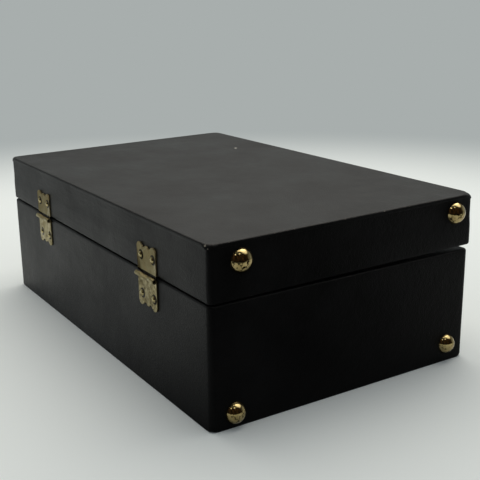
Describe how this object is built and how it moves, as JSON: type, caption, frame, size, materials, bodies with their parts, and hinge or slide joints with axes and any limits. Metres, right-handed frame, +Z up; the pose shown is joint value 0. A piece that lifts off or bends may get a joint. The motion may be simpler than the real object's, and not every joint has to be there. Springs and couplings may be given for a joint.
{
  "type": "portable bar case",
  "caption": "Leatherette-covered travel bar case with a hinged lid, brass hinges, feet and latches, a carrying handle, bottle wells and fitted barware.",
  "frame": {"origin": "centre of the base's large back face, on which the case lies", "axes": "+Z up through the lid, +X along the length from the feet end to the handle end, +Y to the hinge side; the latches are at -Y"},
  "size_m": [0.407, 0.2538, 0.1349],
  "materials": {
    "leatherette": "black grained leatherette, satin",
    "strap_leather": "black leather, satin",
    "plywood": "bare plywood",
    "turned_wood": "waxed hardwood",
    "felt": "dark red felt",
    "elastic": "woven black elastic",
    "brass": "aged brass",
    "polished_brass": "polished brass",
    "barware_steel": "polished steel"
  },
  "bodies": {
    "case_base": {"base_back_panel": "plywood", "base_hinge_board": "plywood", "base_latch_board": "plywood", "base_feet_board": "plywood", "base_handle_board": "plywood", "base_side_covering": "leatherette", "base_back_covering": "leatherette", "base_lining": "felt", "divider_hinge_side": "felt", "divider_latch_side": "felt", "column_shelves": "felt", "strap_hinge_half": "strap_leather", "strap_latch_half": "strap_leather", "strap_snap_cap": "brass", "strap_snap_stud": "brass", "column_bands": "elastic", "strap_rivets": "brass", "shaker_body": "barware_steel", "shaker_top": "barware_steel", "shaker_cap": "barware_steel", "tumbler_1": "barware_steel", "tumbler_2": "barware_steel", "tumbler_3": "barware_steel", "tumbler_4": "barware_steel", "jigger": "barware_steel", "base_feet": "polished_brass", "base_hinge_leaves": "brass", "hinge_pins": "brass", "base_nails": "brass", "lock_plates": "brass", "handle_brackets": "brass", "handle_pivot_pins": "brass", "bracket_screws": "brass"},
    "lid": {"lid_top_panel": "plywood", "lid_hinge_board": "plywood", "lid_latch_board": "plywood", "lid_feet_board": "plywood", "lid_handle_board": "plywood", "lid_side_covering": "leatherette", "lid_top_covering": "leatherette", "lid_lining": "felt", "tool_panel": "felt", "tool_loops": "elastic", "bar_spoon": "barware_steel", "corkscrew_worm": "barware_steel", "corkscrew_handle": "turned_wood", "bottle_opener": "barware_steel", "strainer": "barware_steel", "lid_feet": "polished_brass", "lid_hinge_leaves": "brass", "lid_nails": "brass", "hasp_plates": "brass", "hasp_pins": "brass"},
    "lower_hasp": {"lower_hasp": "brass"},
    "upper_hasp": {"upper_hasp": "brass"},
    "lower_lock_bolt": {"lower_lock_bolt": "brass"},
    "upper_lock_bolt": {"upper_lock_bolt": "brass"},
    "handle": {"handle_arms": "brass", "handle_grip": "strap_leather", "handle_rod": "brass"}
  },
  "joints": [
    {"name": "lid_hinge", "type": "hinge", "parent": "case_base", "child": "lid", "pos_m": [0, 0.1203, 0.0882], "axis": [-1, 0, 0], "range_deg": [0, 179]},
    {"name": "lower_hasp_hinge", "type": "hinge", "parent": "lid", "child": "lower_hasp", "pos_m": [-0.1045, -0.12206, 0.10096], "axis": [1, 0, 0], "range_deg": [0, 165]},
    {"name": "upper_hasp_hinge", "type": "hinge", "parent": "lid", "child": "upper_hasp", "pos_m": [0.1045, -0.12206, 0.10096], "axis": [1, 0, 0], "range_deg": [0, 165]},
    {"name": "lower_lock_slide", "type": "slide", "parent": "case_base", "child": "lower_lock_bolt", "axis": [1, 0, 0], "range_m": [0, 0.0035]},
    {"name": "upper_lock_slide", "type": "slide", "parent": "case_base", "child": "upper_lock_bolt", "axis": [1, 0, 0], "range_m": [0, 0.0035]},
    {"name": "handle_hinge", "type": "hinge", "parent": "case_base", "child": "handle", "pos_m": [0.2015, 0, 0.058], "axis": [0, -1, 0], "range_deg": [0, 180]}
  ]
}
